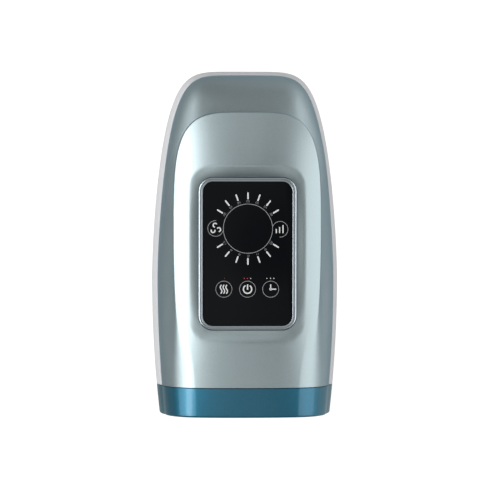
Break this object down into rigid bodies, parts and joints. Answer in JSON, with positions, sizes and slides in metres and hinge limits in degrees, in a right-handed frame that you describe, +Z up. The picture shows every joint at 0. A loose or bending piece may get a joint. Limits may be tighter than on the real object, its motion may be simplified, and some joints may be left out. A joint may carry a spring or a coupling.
{
  "type": "hand massager",
  "caption": "Tunnel-shaped hand massager with a raised saddle, a flat touch panel, a coloured band round the hand opening, and air cells that press the hand.",
  "frame": {"origin": "on the surface that the feet rest on, under the middle of the body's box", "axes": "+Z up, +Y from the hand opening to the hood, +X to the right of someone whose hand goes in along +Y"},
  "size_m": [0.125, 0.23, 0.1008],
  "materials": {
    "teal_silver_paint": "metallic teal-silver paint with a fine flake",
    "pale_silver_paint": "pale silver satin",
    "teal_blue_paint": "metallic teal-blue gloss",
    "silver_trim": "bright silver plated trim",
    "black_glass": "black gloss touch panel with printed marks",
    "circuit_board": "green board",
    "steel": "plated steel",
    "brass": "turned brass",
    "grey_plastic": "grey moulded plastic",
    "white_plastic": "white moulded plastic",
    "air_cell_film": "welded film",
    "pad_skin": "soft dark skin",
    "heater_film": "amber heater film",
    "rubber": "black rubber",
    "battery_wrap": "shrink wrap"
  },
  "bodies": {
    "chassis": {"upper_housing": "teal_silver_paint", "lower_housing": "pale_silver_paint", "front_rim": "teal_blue_paint", "panel_bezel": "silver_trim", "touch_panel": "black_glass", "control_board": "circuit_board", "board_screw_1": "steel", "board_screw_2": "steel", "board_screw_3": "steel", "board_screw_4": "steel", "tunnel_liner": "grey_plastic", "upper_palm_cell": "air_cell_film", "upper_finger_cell": "air_cell_film", "lower_cell": "air_cell_film", "pump_head": "white_plastic", "pump_motor": "steel", "pump_cradle": "rubber", "valve_block": "white_plastic", "palm_valve_coil": "steel", "finger_valve_coil": "steel", "lower_valve_coil": "steel", "palm_valve_spring": "steel", "finger_valve_spring": "steel", "lower_valve_spring": "steel", "palm_hose": "air_cell_film", "finger_hose": "air_cell_film", "lower_hose": "air_cell_film", "main_board": "circuit_board", "battery_holder": "grey_plastic", "front_battery_cell": "battery_wrap", "rear_battery_cell": "battery_wrap", "charging_socket": "steel", "housing_screw_1": "steel", "housing_screw_2": "steel", "housing_screw_3": "steel", "housing_screw_4": "steel", "rubber_foot_1": "rubber", "rubber_foot_2": "rubber", "rubber_foot_3": "rubber", "rubber_foot_4": "rubber"},
    "palm_press": {"upper_palm_pad": "pad_skin"},
    "finger_press": {"upper_finger_pad": "pad_skin"},
    "palm_rest": {"lower_pad": "pad_skin", "heater_film": "heater_film"},
    "crank": {"pump_crank": "brass"},
    "palm_plunger": {"palm_valve_plunger": "brass"},
    "finger_plunger": {"finger_valve_plunger": "brass"},
    "lower_plunger": {"lower_valve_plunger": "brass"}
  },
  "joints": [
    {"name": "palm_press_slide", "type": "slide", "parent": "chassis", "child": "palm_press", "axis": [0, 0, -1], "range_m": [0, 0.01], "stiffness_N_per_m": 150, "springref_m": -0.003, "deforming": ["upper_palm_cell"]},
    {"name": "finger_press_slide", "type": "slide", "parent": "chassis", "child": "finger_press", "axis": [0, 0, -1], "range_m": [0, 0.01], "stiffness_N_per_m": 150, "springref_m": -0.003, "deforming": ["upper_finger_cell"]},
    {"name": "palm_rest_slide", "type": "slide", "parent": "chassis", "child": "palm_rest", "axis": [0, 0, 1], "range_m": [0, 0.006], "deforming": ["lower_cell"]},
    {"name": "pump_spin", "type": "hinge", "parent": "chassis", "child": "crank", "pos_m": [-0.002, 0.077, 0.0205], "axis": [1, 0, 0], "continuous": true},
    {"name": "palm_valve_slide", "type": "slide", "parent": "chassis", "child": "palm_plunger", "axis": [0, 0, -1], "range_m": [0, 0.0015], "stiffness_N_per_m": 120, "springref_m": -0.0005, "deforming": ["palm_valve_spring"]},
    {"name": "finger_valve_slide", "type": "slide", "parent": "chassis", "child": "finger_plunger", "axis": [0, 0, -1], "range_m": [0, 0.0015], "stiffness_N_per_m": 120, "springref_m": -0.0005, "deforming": ["finger_valve_spring"]},
    {"name": "lower_valve_slide", "type": "slide", "parent": "chassis", "child": "lower_plunger", "axis": [0, 0, -1], "range_m": [0, 0.0015], "stiffness_N_per_m": 120, "springref_m": -0.0005, "deforming": ["lower_valve_spring"]}
  ]
}
